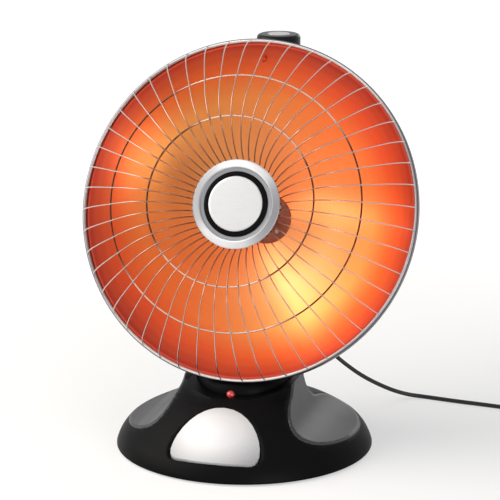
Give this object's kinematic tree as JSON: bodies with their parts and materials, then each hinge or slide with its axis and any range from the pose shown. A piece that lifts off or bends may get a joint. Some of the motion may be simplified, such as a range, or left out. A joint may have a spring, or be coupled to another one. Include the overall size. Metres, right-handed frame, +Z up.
{
  "type": "parabolic heater",
  "caption": "Radiant heater: a copper-toned parabolic dish behind a radial wire guard, leaning back on a round black foot, with a dial on top of a rear spine and a mains lead.",
  "frame": {"origin": "on the floor at the centre of the round foot, where the tip-over plunger stands", "axes": "+Z up, -Y towards the room that the dish faces, +X to the right of a viewer in front of the dish"},
  "size_m": [0.6663, 0.4916, 0.5363],
  "materials": {
    "copper_reflector": "bright coloured metal, slightly satin",
    "bright_wire": "plated wire",
    "brushed_aluminium": "fine brushed",
    "black_gloss_plastic": "semi-gloss moulded",
    "knob_black": "satin moulded",
    "knob_bright": "satin",
    "grey_plastic": "satin moulded",
    "brown_plate": "dark heat-stained",
    "ceramic": "unglazed white",
    "glowing_wire": "oxidised resistance wire",
    "steel": "zinc plated",
    "insulator": "moulded insulator",
    "switch_black": "moulded",
    "red_lens": "clear red lens",
    "lamp_glass": "neon lamp",
    "rubber": "soft black",
    "cord_black": "flexible sheath",
    "brass": "plated",
    "wire_red": "insulated leads"
  },
  "bodies": {
    "heater": {"reflector": "copper_reflector", "rim_channel": "brushed_aluminium", "back_shell": "black_gloss_plastic", "guard_wires": "bright_wire", "guard_outer_ring": "bright_wire", "guard_inner_ring": "bright_wire", "cap_dish": "brushed_aluminium", "cap_backing": "steel", "cap_trim_ring": "black_gloss_plastic", "cap_disc": "brushed_aluminium", "vertex_plate": "brown_plate", "vertex_plate_screws": "steel", "element_stem": "steel", "element_core": "ceramic", "element_winding": "glowing_wire", "element_front_plate": "steel", "dish_screws": "steel", "standoff_ring": "steel", "thermal_cutoff": "insulator", "head_screws": "steel", "spine_housing": "black_gloss_plastic", "spine_cover": "black_gloss_plastic", "spine_cover_screws": "steel", "pod_housing": "black_gloss_plastic", "thermostat": "insulator", "thermostat_nut": "steel", "wiring_harness": "wire_red", "base_shell": "black_gloss_plastic", "side_panel_left": "grey_plastic", "side_panel_right": "grey_plastic", "badge_plate": "brushed_aluminium", "indicator_lens": "red_lens", "indicator_lamp": "lamp_glass", "neck_column": "black_gloss_plastic", "column_screws": "steel", "bottom_plate": "steel", "base_screws": "steel", "rubber_feet": "rubber", "switch_bracket": "steel", "tip_switch": "switch_black", "plunger_spring": "steel", "buzzer": "switch_black", "terminal_block": "insulator", "strain_relief": "rubber", "power_cord": "cord_black", "cord_coil": "cord_black", "cord_tie": "cord_black", "plug_body": "cord_black", "plug_blades": "brass"},
    "thermostat_knob": {"knob": "knob_black", "knob_inlay": "knob_bright", "thermostat_shaft": "steel"},
    "plunger": {"tip_plunger": "insulator"}
  },
  "joints": [
    {"name": "thermostat_turn", "type": "hinge", "parent": "heater", "child": "thermostat_knob", "pos_m": [0, 0.1765, 0.5], "axis": [0, 0, 1], "range_deg": [-280, 0]},
    {"name": "tip_over_plunger", "type": "slide", "parent": "heater", "child": "plunger", "axis": [0, 0, -1], "range_m": [-0.001, 0.006], "stiffness_N_per_m": 100, "springref_m": 0.007, "deforming": ["plunger_spring"]}
  ]
}
